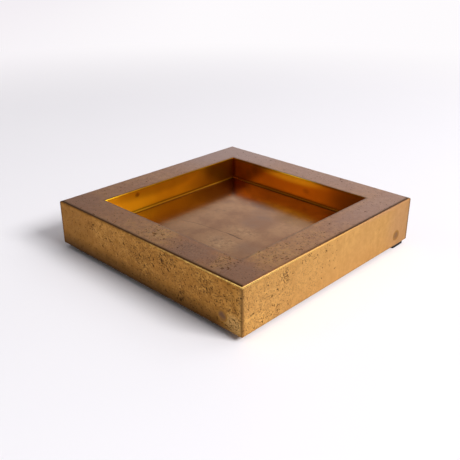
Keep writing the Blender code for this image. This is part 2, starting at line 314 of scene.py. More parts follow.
# Every vertex of the flat skin is nudged along its face, so that the pits don't stand in rows, and the whole skin
# sinks and rises by less than a tenth of a millimetre, as filed brass does. It stays level round the pins. The
# seed makes it come out the same each time.
NUDGE = 0.0005
NUDGE_LENGTH = 0.0007
DRIFT = 0.0012
DRIFT_LENGTH = 0.0045
DRIFT_MARGIN = 0.003
LEVEL_ROUND_PIN = 0.009
LOWEST_NUDGED = LOWER_EDGE + 0.001
SQUARE_ON = 0.999
WAVE_DEPTH = 0.00009
WAVE_LENGTH = 0.03
FINER_WAVES = 3.1
FINER_SHARE = 0.4
WALL_WAVE = 0.25
noise.seed_set(7)
places = read_vertices(body)
facing = read_vertices(body, "normal")
reach = reaches(places)
level = np.abs(facing[:, 2]) > 0.9
from_end = np.where(level, reach - RIM_INNER, np.minimum(
    places[:, 2] - LOWER_EDGE - OUTER_EDGE_RADIUS, RIM_TOP - OUTER_EDGE_RADIUS - places[:, 2]))
from_end = np.minimum(from_end, HALF_SIDE - CORNER_CELL - np.where(
    level, reach, np.abs(places[:, :2]).min(axis=1)))
nudge = stray(places, NUDGE_LENGTH, NUDGE)
drift = stray(places, DRIFT_LENGTH, DRIFT)
drift *= (np.clip(from_end / DRIFT_MARGIN, 0, 1) * (reach > RIM_INNER))[:, None]
nudge = along_faces(nudge + drift, facing)
waves = np.array([noise.noise(place) + FINER_SHARE * noise.noise(place * FINER_WAVES)
                  for place in (Vector(place) / WAVE_LENGTH for place in places)])
skin = np.array([is_skin([Vector(place)]) for place in places])
near_pin = np.max([np.exp(-(((places - np.array(pin_place)) / LEVEL_ROUND_PIN) ** 2).sum(axis=1) ** 2)
                   for pin_place in pin_places], axis=0)
flat = skin & (np.abs(facing).max(axis=1) > SQUARE_ON) & (near_pin < 0.5) & (places[:, 2] > LOWEST_NUDGED)
nudge *= (1 - near_pin)[:, None]
places[flat] += nudge[flat]
sink = np.clip(0.5 - 0.5 * waves, 0, 1) * WAVE_DEPTH * (1 - near_pin)
sink[reaches(places) < RIM_INNER] *= WALL_WAVE
places[skin] -= (facing * sink[:, None])[skin]
move_vertices(body, places)

# The casting pits: four rounds, from long crooked pits of three cells to single small ones. Each round has its
# share of the crowded cells, the neighbours that join in, and the margin, slope and depth of the pits.
LUCK_CELL = 0.0005
NEXT_LUCK = 37.3
PIT_ROUNDS = (
    (0.10, 2, 0.00040, 0.00007, 0.00016),
    (0.12, 1, 0.00040, 0.00007, 0.00017),
    (0.20, 0, 0.00036, 0.00007, 0.00014),
    (0.40, 0, 0.00043, 0.00005, 0.00010),
)
WHOLE_CELL = 0.75 * CELL ** 2
WHOLE_EDGE = 0.7 * CELL
PIT_SHARE = 0.006
# Where they crowd, and the share of the cells there that may be pitted. It is PIT_SHARE everywhere else.
PIT_PATCHES = (
    (-58, -100, 31, 6, 4, 6, 0.26), (-48, -100, 31, 28, 4, 9, 0.1), (4, -100, 28, 18, 4, 11, 0.13),
    (28, -100, 32, 10, 4, 6, 0.55), (44, -100, 13, 4, 4, 8, 0.45), (67, -100, 28, 8, 4, 7, 0.28),
    (85, -100, 25, 18, 4, 14, 0.12), (93, -100, 9, 7, 4, 7, 0.32), (40, -100, 18, 50, 4, 18, 0.06),
    (100, -59, 31, 4, 4, 8, 0.9), (100, -36, 37, 8, 7, 4, 0.3), (100, -80, 9, 4, 22, 6, 0.28),
    (100, -75, 24, 4, 28, 14, 0.1), (100, -15, 30, 4, 24, 11, 0.07), (-2, -87, 40.5, 10, 11, 4, 0.34),
    (20, -88, 40.5, 16, 11, 4, 0.1), (68, -84, 40.5, 10, 9, 4, 0.38), (87, -62, 40.5, 10, 12, 4, 0.16),
    (80, -48, 40.5, 6, 6, 4, 0.18), (86, -30, 40.5, 11, 32, 4, 0.07), (-30, -88, 40.5, 22, 11, 4, 0.05),
    (30, 90, 40.5, 30, 10, 4, 0.03), (-88, -40, 40.5, 10, 30, 4, 0.04), (-100, 40, 26, 4, 18, 10, 0.2),
    (-100, -60, 15, 4, 14, 8, 0.25), (-100, 86, 12, 4, 12, 7, 0.2), (-52, 100, 30, 20, 4, 9, 0.2),
    (58, 100, 13, 16, 4, 8, 0.22), (12, 100, 28, 10, 4, 8, 0.14),
)


def luck(face, turn):
    """A number from 0 to 1 that goes with the place of a face, and is another one each turn."""
    return 0.5 + 0.5 * noise.cell(face.calc_center_median() / LUCK_CELL + Vector((turn * NEXT_LUCK, 0, 0)))


def crooked_run(face, steps):
    """A face of the skin and a few of its neighbours, each the next to the last one."""
    run = [face]
    for step in range(steps):
        beside = [other for edge in run[-1].edges for other in edge.link_faces if other not in run]
        run += sorted(beside, key=lambda other: luck(other, 10 + step))[:1]
    return run


def can_be_pitted(cell):
    """True for a whole square cell of the skin that isn't on a recess wall."""
    whole = cell.calc_area() > WHOLE_CELL and min(edge.calc_length() for edge in cell.edges) > WHOLE_EDGE
    on_wall = reach_of(cell.calc_center_median()) < RECESS_HALF + NEAR
    return whole and len(cell.verts) == 4 and not on_wall and is_skin([corner.co for corner in cell.verts])


bpy.ops.object.mode_set(mode="EDIT")
cage = bmesh.from_edit_mesh(body.data)
cage.verts.layers.float.new("pit")
for turn, (share, steps, margin, slope, depth) in enumerate(PIT_ROUNDS):
    bpy.ops.mesh.select_mode(type="FACE")
    bpy.ops.mesh.select_all(action="DESELECT")
    cage = bmesh.from_edit_mesh(body.data)
    middles = np.array([face.calc_center_median() for face in cage.faces])
    crowding = np.maximum(in_patches(middles, PIT_PATCHES), PIT_SHARE)
    for face, crowd in zip(cage.faces, crowding):
        if luck(face, turn) < crowd * share:
            for cell in crooked_run(face, steps):
                if can_be_pitted(cell):
                    cell.select_set(True)
    bmesh.update_edit_mesh(body.data)
    bpy.ops.mesh.inset(thickness=margin, depth=0, use_individual=steps == 0, use_even_offset=False)
    bpy.ops.mesh.inset(thickness=slope, depth=-depth, use_individual=steps == 0, use_even_offset=False)
    cage = bmesh.from_edit_mesh(body.data)
    pit = cage.verts.layers.float["pit"]
    for face in cage.faces:
        if face.select:
            for corner in face.verts:
                corner[pit] = 1
bpy.ops.object.mode_set(mode="OBJECT")

# The outline of every pit is ragged, along its own face only.
RAGGED = 0.00016
RAGGED_LENGTH = 0.0002
FACE_DEPTH = 0.0005
places = read_vertices(body)
pitted = np.empty(len(places))
body.data.attributes["pit"].data.foreach_get("value", pitted)
ragged = stray(places, RAGGED_LENGTH, RAGGED) * pitted[:, None]
upright_side = np.abs(places[:, :2]) > HALF_SIDE - FACE_DEPTH
ragged[:, :2][upright_side] = 0
ragged[:, 2][~upright_side.any(axis=1)] = 0
places += ragged
move_vertices(body, places)

# Where handling has worn the brown patina down to yellow brass, and where it lies darkest. The dark patches low
# on the left side are painted shade.
WORN_PATCHES = (
    (-6, -87, 40.5, 24, 12, 4, 0.4), (8, -85, 40.5, 12, 12, 4, 0.9), (70, -85, 40.5, 12, 11, 4, 0.7),
    (85, -56, 40.5, 13, 24, 4, 0.6), (86, -20, 40.5, 12, 20, 4, 0.2), (94, -100, 9, 8, 4, 7, 1),
    (100, -85, 10, 4, 22, 8, 0.8), (-55, -100, 30, 20, 4, 10, 0.1),
)
DARK_AND_SHADED_PATCHES = (
    (43, -88, 40.5, 18, 13, 4, 0.9), (86, -88, 40.5, 18, 16, 4, 1), (100, 85, 22, 4, 22, 20, 0.5),
    (88, 70, 40.5, 14, 60, 3, 0.3), (100, 99, 22, 4, 6, 30, 0.7), (-99, -100, 22, 4, 4, 30, 1),
    (10, 88, 40.5, 50, 14, 3, 0.35), (-85, -100, 20, 30, 4, 30, 0.9), (-20, -100, 8, 90, 4, 9, 0.7),
    (-90, -88, 40.5, 30, 14, 3, 0.5),
)
# Painted sheen: the back of the rim and the right corner, seen at a grazing angle, are painted pinker.
PINK_SHEEN_PATCHES = (
    (-100, 100, 40.5, 75, 75, 2, 1), (20, 90, 40.5, 80, 20, 4, 0.4), (90, 70, 40.5, 14, 60, 3, 0.45),
    (100, 88, 22, 4, 18, 30, 0.2),
)
# Where the skin is finely speckled, from the front corner backwards.
GRAIN_PATCHES = (
    (30, -100, 20, 110, 4, 40, 1), (-70, -100, 28, 40, 4, 20, 0.7), (100, -70, 20, 4, 75, 40, 0.9),
    (100, 50, 20, 4, 50, 40, 0.35), (40, -88, 40.5, 80, 14, 4, 0.9), (88, -40, 40.5, 14, 80, 4, 0.7),
    (-60, -88, 40.5, 50, 14, 4, 0.5), (88, 60, 40.5, 14, 50, 4, 0.4), (-88, 0, 40.5, 14, 100, 4, 0.3),
    (0, 88, 40.5, 100, 14, 4, 0.3), (-100, 0, 20, 4, 110, 40, 0.7), (0, 100, 20, 110, 4, 40, 0.7),
)
# Where the sides are paler: rubbed by the front pin, and painted light all along the right side, which faces the
# lamp.
PALE_AND_LIT_PATCHES = (
    (93, -100, 10, 8, 4, 7, 1.5), (100, -10, 22, 3, 130, 40, 1),
)
# Painted highlights and painted shade on the polished walls of the recess: where they are painted brightest,
# and where they are painted dark.
WALL_HIGHLIGHT_PATCHES = (
    (-74, -64, 26, 4, 42, 12, 1), (-74, -72, 38, 4, 14, 6, 0.8), (2, 74, 40, 26, 4, 3, 1),
    (-4, 74, 38.5, 34, 4, 4.5, 0.9),
)
WALL_SHADE_PATCHES = (
    (-74, 66, 28, 4, 46, 20, 0.66), (-74, -16, 37, 4, 54, 6, 0.42), (-74.5, -2, 40.5, 3, 66, 1.2, 0.66),
    (-50, 74.5, 40.5, 36, 3, 1.2, 0.9), (50, 74.5, 40.5, 36, 3, 1.2, 0.9), (-73, 0, 21.3, 4, 120, 1.8, 0.8),
    (0, 73, 21.3, 120, 4, 1.8, 0.85), (-72, 74, 28, 12, 4, 20, 0.12), (-54, 74, 28, 4, 4, 6, 0.22),
    (-60, 74, 23, 5, 4, 5, 0.25), (-47, 74, 35, 4, 4, 5, 0.22), (74, 74, 29, 38, 4, 20, 1),
    (-74, -42, 36, 3, 2.8, 2.4, 0.9), (14, 74, 30, 3.5, 3, 2.2, 0.35),
)
WANDER = 0.007
WANDER_LENGTH = 0.008


def paint(piece, name, values):
    """Lays a value on each vertex of a piece under a name, for its material to read."""
    piece.data.attributes.new(name, "FLOAT", "POINT").data.foreach_set("value", values)


wander = along_faces(stray(places, WANDER_LENGTH, WANDER), read_vertices(body, "normal"))
for name, patches, spots in (
        ("worn", WORN_PATCHES, places + wander), ("dark", DARK_AND_SHADED_PATCHES, places + wander),
        ("pink_sheen", PINK_SHEEN_PATCHES, places), ("pale_and_lit", PALE_AND_LIT_PATCHES, places), ("wall_highlight", WALL_HIGHLIGHT_PATCHES, places),
        ("dull", WALL_SHADE_PATCHES, places), ("crowd", PIT_PATCHES, places), ("grain", GRAIN_PATCHES, places)):
    paint(body, name, in_patches(spots, patches))

# The rounded outer edge: how far each place on it leans from the side, 0, to the rim, 1, and how far round the
# sides it is from the front corner, where the tray is picked up. The edge is worn brightest there, and its gold is
# also a painted highlight, laid over the part of the rounding that catches the light.
EDGE_WEAR_AND_HIGHLIGHT = 0.8
reach = reaches(places)
below = RIM_TOP - places[:, 2]
rise = np.clip(OUTER_EDGE_RADIUS - below, 0, None)
run_out = np.clip(reach - HALF_SIDE + OUTER_EDGE_RADIUS, 0, None)
lean = np.arctan2(rise, run_out) / math.radians(90)
on_edge = (reach > HALF_SIDE - OUTER_EDGE_RADIUS - NEAR) & (below < OUTER_EDGE_RADIUS + NEAR)
along = np.abs(places[:, 0] - HALF_SIDE) + np.abs(places[:, 1] + HALF_SIDE)
# Worn gold on the edge, partly a painted highlight, brightest towards the front corner.
handled_and_lit = np.interp(along, (0, 0.06, 0.12, 0.19), (1, 0.75, 0.45, 0.1))
paint(body, "edge", np.interp(lean, (0, 0.1, 0.5, 0.72), (0.3, 1, 1, 0)) * on_edge * handled_and_lit * EDGE_WEAR_AND_HIGHLIGHT)

# A painted shade line between the worn edge and the rim: strongest along the left side, fading out towards the
# front corner on the right side, and broader further from that corner. A fainter painted one runs round the recess
# mouth.
LINE_SHIFT = 0.08
MOUTH_SHADE = 0.6
LINE_WIDTH = (OUTER_EDGE_RADIUS + 0.0003, CORNER_CELL + 0.0006)
beside_edge = np.interp(HALF_SIDE - reach, LINE_WIDTH, (1, 0))
right_side = (places[:, 0] > HALF_SIDE - CORNER_RADIUS * 2) & (places[:, 0] + places[:, 1] > 0)
left_side = (places[:, 1] < CORNER_RADIUS * 2 - HALF_SIDE) & ~right_side
in_front = np.where(left_side, 1, np.where(right_side, np.interp(along, (0.02, 0.05, 0.1), (0, 0.3, 1)), 0.3))
# Painted shade on the upper part of the edge's rounding.
fine_shade_line = np.interp(lean + LINE_SHIFT * (in_front > 0.99), (0.58, 0.82), (0, 1))
broad_shade_line = np.interp(lean, (0.3, 0.7), (0, 0.8)) * np.interp(along, (0.08, 0.17), (0, 1))
# Painted shade round the recess mouth.
mouth = (reach < RIM_INNER + NEAR) & (below < RIM_EDGE_RADIUS + NEAR)
paint(body, "line", np.maximum(np.maximum(fine_shade_line, broad_shade_line) * beside_edge * in_front, MOUTH_SHADE * mouth))

# Painted shade: the roundings of the upright corners are darkened, and so is the bottom of the sides, higher on
# the left side, where the tray's shadow lies on the paper.
CORNER_FADE = 0.0006
LEFT_SHADE_HEIGHT = 0.013
LOWER_SHADE_HEIGHT = 0.0025
# Painted shade in the roundings of the upright corners.
into_corner = np.abs(places[:, :2]).min(axis=1) - HALF_SIDE + CORNER_RADIUS
paint(body, "arris", np.clip(into_corner / CORNER_FADE, 0, 1))
# Painted shade along the bottom of the sides, higher up on the left side.
shade_height = np.where(places[:, 1] < CORNER_RADIUS - HALF_SIDE, LEFT_SHADE_HEIGHT, LOWER_SHADE_HEIGHT)
paint(body, "foot", np.clip(1 - (places[:, 2] - LOWER_EDGE) / shade_height, 0, 1)
      * np.interp(places[:, 0], (0.075, 0.09), (1, 0.3)))


def take_up(piece):
    """Makes a piece the only selected one, and the one that is worked on."""
    bpy.ops.object.select_all(action="DESELECT")
    piece.select_set(True)
    bpy.context.view_layer.objects.active = piece


def smooth(degrees=32):
    """Shades the piece that is worked on smoothly, across all edges blunter than an angle."""
    bpy.ops.object.shade_smooth_by_angle(angle=math.radians(degrees))


take_up(body)
smooth()


class Value:
    """A value that changes over the surface, and the arithmetic on it. A name or number in square brackets gives
    another output of the same node."""

    def __init__(self, socket):
        self.socket = socket
        self.tree = socket.id_data

    def __getitem__(self, output):
        return Value(self.socket.node.outputs[output])

    __add__ = lambda self, other: maths("ADD", self, other)
    __radd__ = lambda self, other: maths("ADD", other, self)
    __sub__ = lambda self, other: maths("SUBTRACT", self, other)
    __rsub__ = lambda self, other: maths("SUBTRACT", other, self)
    __mul__ = lambda self, other: maths("MULTIPLY", self, other)
    __truediv__ = lambda self, other: maths("DIVIDE", self, other)
    __rtruediv__ = lambda self, other: maths("DIVIDE", other, self)

    def clip(self):
        """The same value, held between 0 and 1."""
        self.socket.node.use_clamp = True
        return self


def feed(node, inputs):
    """Joins inputs of a node to values that change over the surface, or sets them to plain ones."""
    for name, value in inputs.items():
        if isinstance(value, Value):
            node.id_data.links.new(value.socket, node.inputs[name])
        else:
            node.inputs[name].default_value = value


def add_node(tree, kind, inputs=None, **settings):
    """The first output of a new node with these inputs and settings."""
    node = tree.nodes.new("ShaderNode" + kind)
    for name, value in settings.items():
        setattr(node, name, value)
    feed(node, inputs or {})
    return Value(node.outputs[0])


def maths(operation, *terms):
    """One step of arithmetic."""
    tree = next(term.tree for term in terms if isinstance(term, Value))
    return add_node(tree, "Math", dict(enumerate(terms)), operation=operation)


def most(first, second):
    """The greater of two values."""
    return maths("MAXIMUM", first, second)


def ramp(value, low, high, start=0.0, end=1.0):
    """Maps a value smoothly from one range to another."""
    inputs = {0: value, 1: low, 2: high, 3: start, 4: end}
    return add_node(value.tree, "MapRange", inputs, interpolation_type="SMOOTHSTEP")


def blend(share, first, second):
    """Mixes two colours by a share."""
    first, second = (each if isinstance(each, Value) else (*each, 1) for each in (first, second))
    return add_node(share.tree, "Mix", {0: share, 6: first, 7: second}, data_type="RGBA")[2]


def bump(relief, strength, distance):
    """A shader's normal, tilted by a relief that is too fine to model."""
    return add_node(relief.tree, "Bump", {"Strength": strength, "Distance": distance, "Height": relief})


def finish_metal(shader, colour, rough, normal=None):
    """Joins up the shader of a metal: its colour, its roughness and its fine relief."""
    feed(shader, {"Base Color": colour, "Roughness": rough, "Metallic": 1})
    if normal:
        feed(shader, {"Normal": normal})


def painted(tree, name):
    """What was painted on the vertices under a name."""
    return add_node(tree, "Attribute", attribute_name=name)["Fac"]


def start_material(name):
    """A new material, its nodes, its Principled shader, and the part's own coordinates to lay patterns on."""
    material = bpy.data.materials.new(name)
    material.use_nodes = True
    tree = material.node_tree
    return material, tree, tree.nodes["Principled BSDF"], add_node(tree, "TexCoord")["Object"]


def start_group(name, outputs, **inputs):
    """A new shader node group with named outputs. It is given Where, the place on the part, and named numbers,
    here with their usual values."""
    group = bpy.data.node_groups.new(name, "ShaderNodeTree")
    group.interface.new_socket("Where", in_out="INPUT", socket_type="NodeSocketVector")
    for socket, value in inputs.items():
        added = group.interface.new_socket(socket, in_out="INPUT", socket_type="NodeSocketFloat")
        added.default_value = value
    for socket in outputs:
        group.interface.new_socket(socket, in_out="OUTPUT", socket_type="NodeSocketFloat")
    given = Value(group.nodes.new("NodeGroupInput").outputs[0])
    return group, given, group.nodes.new("NodeGroupOutput")


def use_group(group, where, **inputs):
    """Places a node group in the material that a place belongs to."""
    node = where.tree.nodes.new("ShaderNodeGroup")
    node.node_tree = group
    feed(node, {"Where": where, **inputs})
    return Value(node.outputs[0])


def speckle(where, scale, detail, roughness=0.5, distortion=0.0):
    """Soft random spots of a scale, with finer ones inside them."""
    inputs = {"Vector": where, "Scale": scale, "Detail": detail, "Roughness": roughness, "Distortion": distortion}
    return add_node(where.tree, "TexNoise", inputs)


# Mottling: soft clouds of thicker and thinner patina, with finer clouds inside them.
mottling, given, result = start_group("mottling", ("Clouds", "Fine"), Size=0.02, Spread=0.1)
for output, divisor in (("Clouds", 1.0), ("Fine", 5.0)):
    cloud = speckle(given["Where"], divisor / given["Size"], 4.0, 0.6)
    feed(result, {output: ramp(cloud, 0.5 - given["Spread"], 0.5 + given["Spread"])})

# Grain: the small dark and bright flecks of a cast skin, in worm-like runs.
grain, given, result = start_group("grain", ("Dark", "Bright"), Size=0.001, Share=0.5)
flecks = speckle(given["Where"], 1.0 / given["Size"], 2.0, 0.7, 0.6)
level = 0.68 - given["Share"] * 0.16
feed(result, {"Dark": ramp(flecks, level, level + 0.05)})
level = 0.30 + given["Share"] * 0.14
feed(result, {"Bright": ramp(flecks, level - 0.08, level, 1.0, 0.0)})

# Pin holes: the finest gas pits of a casting, round or run together, in some cells of a fine network.
pin_holes, given, result = start_group("pin holes", ("Holes",), Spacing=0.001, Share=0.2, Width=0.3)
scale = 1.0 / given["Spacing"]
warp = speckle(given["Where"], scale * 1.5, 2.0)
shift = add_node(pin_holes, "VectorMath", {0: warp["Color"], "Scale": 0.0006}, operation="SCALE")
moved = add_node(pin_holes, "VectorMath", {0: given["Where"], 1: shift}, operation="ADD")
cells = add_node(pin_holes, "TexVoronoi", {"Vector": moved, "Scale": scale})
chance = add_node(pin_holes, "SeparateColor", {0: cells["Color"]})
width = given["Width"] * (chance[1] + 0.4)
hole = ramp(cells["Distance"], width * 0.4, width, 1.0, 0.0)
feed(result, {"Holes": hole * maths("LESS_THAN", chance[0], given["Share"])})

# Hand wear: rubbed edges and high places, broken up so that no edge is worn evenly.
hand_wear, given, result = start_group("hand wear", ("Wear",), Edge=0.0, Size=0.004, Amount=0.5)
broken = speckle(given["Where"], 1.0 / given["Size"], 3.0, 0.65)
feed(result, {"Wear": ramp(given["Edge"] + (broken - 0.5), 0.3, 0.9) * given["Amount"]})

# Sanding lines: long fine lines left by abrasive cloth, drawn out along one way.
sanding, given, result = start_group("sanding", ("Lines",), Spacing=0.0004, Length=0.03)
apart = add_node(sanding, "SeparateXYZ", {0: given["Where"]})
drawn = add_node(sanding, "CombineXYZ", {
    0: apart[0] / given["Length"], 1: apart[1] / given["Spacing"], 2: apart[2] / given["Spacing"]})
feed(result, {"Lines": speckle(drawn, 1.0, 3.0, 0.7)})

# The patina of the sides is browner and rougher than that of the rim, which has a thin coat of hand grease.
SIDE_BROWN, SIDE_YELLOW = (0.50, 0.23, 0.045), (0.78, 0.445, 0.10)
SIDE_DARK_AND_SHADE, SIDE_CLOUDS, SIDE_STREAKS = (0.33, 0.145, 0.016), (0.32, 0.14, 0.02), (0.42, 0.20, 0.04)
RUBBED_AND_LIT_PALE = (0.69, 0.42, 0.145)
RIM_BROWN, RIM_RED, RIM_YELLOW, RIM_DARK = (
    (0.49, 0.18, 0.044), (0.58, 0.225, 0.058), (0.82, 0.40, 0.08), (0.34, 0.16, 0.09))
PAINTED_PINK_SHEEN = (0.53, 0.29, 0.215)
BRIGHT_FLECK, DARK_FLECK = (0.84, 0.52, 0.14), (0.15, 0.075, 0.03)
PIT_BROWN, PAINTED_SHADE_BROWN = (0.11, 0.056, 0.024), (0.11, 0.046, 0.008)
WORN_GOLD_AND_HIGHLIGHT = (0.95, 0.61, 0.17)
cast, tree, shader, where = start_material("patinated cast brass")
worn, dark, pink_sheen, crowd, edge, pit, pale_and_lit, speckled, line, arris, foot = (painted(tree, name) for name in (
    "worn", "dark", "pink_sheen", "crowd", "edge", "pit", "pale_and_lit", "grain", "line", "arris", "foot"))
clouds = use_group(mottling, where, Size=0.022, Spread=0.2)
facing = add_node(tree, "SeparateXYZ", {0: add_node(tree, "TexCoord")["Normal"]})
upper = ramp(facing[2], 0.5, 0.95)
bare = (worn * 0.9 + clouds["Clouds"] * 0.35 - dark * 0.5).clip()
bare = (bare * (clouds["Fine"] * 0.9 + 0.3)).clip()
side = blend(bare, SIDE_BROWN, SIDE_YELLOW)
# Dark patina, and painted shade low on the left side.
side = blend(dark * 0.6, side, SIDE_DARK_AND_SHADE)
side = blend((1.0 - clouds["Fine"]) * 0.4, side, SIDE_CLOUDS)
# Rubbed pale by the front pin, and painted light all along the right side.
side = blend(pale_and_lit * 0.6, side, RUBBED_AND_LIT_PALE)
apart = add_node(tree, "SeparateXYZ", {0: where})
turned = add_node(tree, "CombineXYZ", {0: apart[2], 1: apart[0], 2: apart[1]})
streaks = use_group(sanding, turned, Spacing=0.007, Length=0.06)
side = blend(ramp(streaks, 0.45, 0.75, 0.0, 0.25), side, SIDE_STREAKS)
top = blend(clouds["Fine"], RIM_BROWN, RIM_RED)
top = blend(bare, top, RIM_YELLOW)
top = blend(dark * 0.5, top, RIM_DARK)
colour = blend(upper, side, top)
# Painted sheen, pinker at the back of the rim and down the right corner.
colour = blend(pink_sheen, colour, PAINTED_PINK_SHEEN)
flecks = use_group(grain, where, Size=0.0012, Share=speckled)
strength = speckled * (0.15 + clouds["Clouds"] * 0.45)
strength = (strength + crowd * 0.5).clip() * (1.0 - upper * 0.1)
colour = blend(flecks["Bright"] * (strength * 0.5), colour, BRIGHT_FLECK)
colour = blend(flecks["Dark"] * strength, colour, DARK_FLECK)

# Pin holes too fine to model, kept out of the worn edge and the corners.
holes = use_group(pin_holes, where, Spacing=0.0014, Share=0.06 + crowd, Width=0.42)
share = speckled * 0.28 + crowd * 0.6
fine_holes = use_group(pin_holes, where, Spacing=0.0012, Share=share, Width=0.45)
closed = most(arris * 0.8, (edge * 1.3).clip())
holes = most(holes, fine_holes * 0.8) * (1.0 - closed)
pitted = most(holes * 0.85, ramp(pit, 0.0, 0.5))
colour = blend(pitted * 0.78, colour, PIT_BROWN)
# Painted shade: the corner roundings, the bottom of the sides and the line beside the edge are darkened.
colour = blend(most(most(arris * 0.8, foot), line * 0.95), colour, PAINTED_SHADE_BROWN)
wear = use_group(hand_wear, where, Edge=edge, Size=0.004, Amount=1.0)
# Worn gold on the edge, partly a painted highlight.
colour = blend(wear, colour, WORN_GOLD_AND_HIGHLIGHT)
rough = 0.58 + (clouds["Fine"] - 0.5) * -0.10
rough = (rough - upper * 0.20 - wear * 0.38 + pitted * 0.3).clip()

# The grease lies on the rim alone, in small clouds, and is broken by the flecks, the pits and the painted shade
# line.
broken = most(most(line, flecks["Dark"] * (strength * 0.8)), pitted * 0.8)
leather = use_group(mottling, where, Size=0.007, Spread=0.16)["Fine"]
grease = ((1.0 - broken).clip() * (0.62 + leather * 0.55)).clip()
lines = use_group(sanding, where, Spacing=0.0005, Length=0.02)
relief = lines * 0.12 - holes + clouds["Fine"] * 0.2
finish_metal(shader, colour, rough, bump(relief, 0.5, 0.0001))
feed(shader, {"Coat Weight": upper * grease, "Coat Roughness": 0.3})

# The recess walls were polished lengthwise, and light strikes them as if they leaned by a few degrees. The one at
# the back on the right is redder, and painted brightest at its end in the back corner, a painted reflection of the
# lit wall on the left.
WALL_LEAN = 0.075
GOLD_BROWN, GOLD_YELLOW, HIGHLIGHT_GOLD, WALL_SHADE_BROWN = (
    (0.68, 0.30, 0.006), (0.76, 0.36, 0.010), (0.96, 0.56, 0.02), (0.16, 0.05, 0.003))
REFLECTED_BRIGHT_RED, DEEP_RED = (0.98, 0.33, 0.006), (0.60, 0.19, 0.004)
polished, tree, shader, where = start_material("polished recess wall")
wall_highlight, dull = (painted(tree, name) for name in ("wall_highlight", "dull"))
clouds = use_group(mottling, where, Size=0.03, Spread=0.2)
spot = add_node(tree, "SeparateXYZ", {0: where})
right_wall = ramp(spot[1], RECESS_HALF - FOOT_FILLET, RECESS_HALF - 0.0003)
colour = blend(clouds["Clouds"], GOLD_BROWN, GOLD_YELLOW)
# Painted reflection: the right wall is brightest at its end in the back corner.
red = blend(ramp(spot[0], -0.056, -0.028), REFLECTED_BRIGHT_RED, DEEP_RED)
# Painted highlights on the recess walls.
colour = blend(wall_highlight, blend(right_wall, colour, red), HIGHLIGHT_GOLD)
# Painted shade on the recess walls.
colour = blend(dull, colour, WALL_SHADE_BROWN)
relief = spot[2] * WALL_LEAN + clouds["Fine"] * 0.00001
finish_metal(shader, colour, 0.30 + clouds["Clouds"] * 0.04, bump(relief, 1.0, 1.0))
feed(shader, {"Anisotropic": 0.6, "Anisotropic Rotation": 0.25})

body.data.materials.append(cast)
body.data.materials.append(polished)
FOOT_SLACK = 0.00015
for face in body.data.polygons:
    middle = face.center
    far_side = middle.x < -RECESS_HALF or middle.y > RECESS_HALF
    top_edge = RIM_TOP if far_side else RIM_TOP - RIM_EDGE_RADIUS
    widest = RIM_INNER if far_side else RECESS_HALF + FOOT_SLACK
    if reach_of(middle) < widest and FLANGE_BOTTOM < middle.z < top_edge:
        face.material_index = 1
body.name = body.data.name = "cast_frame_body"
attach(body, "root")
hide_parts("cast_frame")


# Floor plate: rolled brass let up into the casting from below. Its middle stands up between the feet of the walls,
# so a fine dark joint runs round it, and years of use have left long scratches and dull patches on it.
floor_low, floor_high = (Vector(corner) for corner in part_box("floor_plate"))
PANEL_HALF = 0.0725
SHOULDER = 0.0008
PANEL_EDGE = 0.00025
PANEL_EDGE_STEPS = 2
PANEL_SPANS = (0.14, 0.15)
FLOOR_CELLS = 96
FLOOR_WAVE = 0.45
FINER_FLOOR_WAVES = 1.3

panel = add_cube("floor_body", floor_low, floor_high - Vector((0, 0, SHOULDER)))
pick(panel, "faces", is_top)
bpy.ops.mesh.inset(thickness=floor_high.x - PANEL_HALF)
lift(SHOULDER)
pick(panel, "edges", lambda edge: all(corner.co.z > floor_high.z - SAME for corner in edge.verts))
bpy.ops.mesh.bevel(offset=PANEL_EDGE, segments=PANEL_EDGE_STEPS)
pick(panel, "edges", lambda edge: PANEL_SPANS[0] < max(spans(edge)) < PANEL_SPANS[1] and all(
    corner.co.z > floor_high.z - SHOULDER / 2 for corner in edge.verts))
bpy.ops.mesh.subdivide(number_cuts=FLOOR_CELLS)
bpy.ops.object.mode_set(mode="OBJECT")

# Places on the floor where the metal is yellower, where a purple bloom dulls it, and where it is browner.
FLOOR_WORN = (
    (18, -12, 21, 17, 9, 10, 0.7), (19, -37, 21, 18, 13, 10, 1), (-24, -30, 21, 14, 12, 10, 0.4),
    (-26, 6, 21, 10, 20, 10, 0.4), (38, 18, 21, 12, 16, 10, 0.4),
)
FLOOR_DULL = (
    (14, 12, 21, 14, 15, 10, 0.9), (-4, 39, 21, 16, 7, 10, 1), (4, 26, 21, 10, 10, 10, 0.5),
    (12, -34, 21, 5, 6, 10, 0.4), (40, -30, 21, 10, 12, 10, 0.6),
)
FLOOR_BROWN = (
    (34, 38, 21, 20, 14, 10, 0.5), (10, 68, 21, 70, 10, 10, 0.25),
)
JOINT_DIRT = 0.0016
places = read_vertices(panel)
waves = np.array([noise.noise(Vector(place) / WAVE_LENGTH * FINER_FLOOR_WAVES) for place in places])
upper = places[:, 2] > floor_high.z - SAME
places[upper, 2] -= (np.clip(0.5 + 0.5 * waves, 0, 1) * WAVE_DEPTH * FLOOR_WAVE)[upper]
move_vertices(panel, places)
# Painted shade: the floor is darker near the wall on the left and towards the back, laid with the browner places.
shade = 1.35 - (places[:, 0] + PANEL_HALF) / 0.032 - np.clip(places[:, 1] / 0.09, 0, 1) * 0.8
inward = PANEL_HALF - reaches(places)
paint(panel, "worn", in_patches(places, FLOOR_WORN))
paint(panel, "dull", in_patches(places, FLOOR_DULL))
paint(panel, "brown_and_shade", np.maximum(in_patches(places, FLOOR_BROWN), np.clip(shade, 0, 1)))
paint(panel, "grime", np.clip(1 - inward / JOINT_DIRT, 0, 1))
smooth()

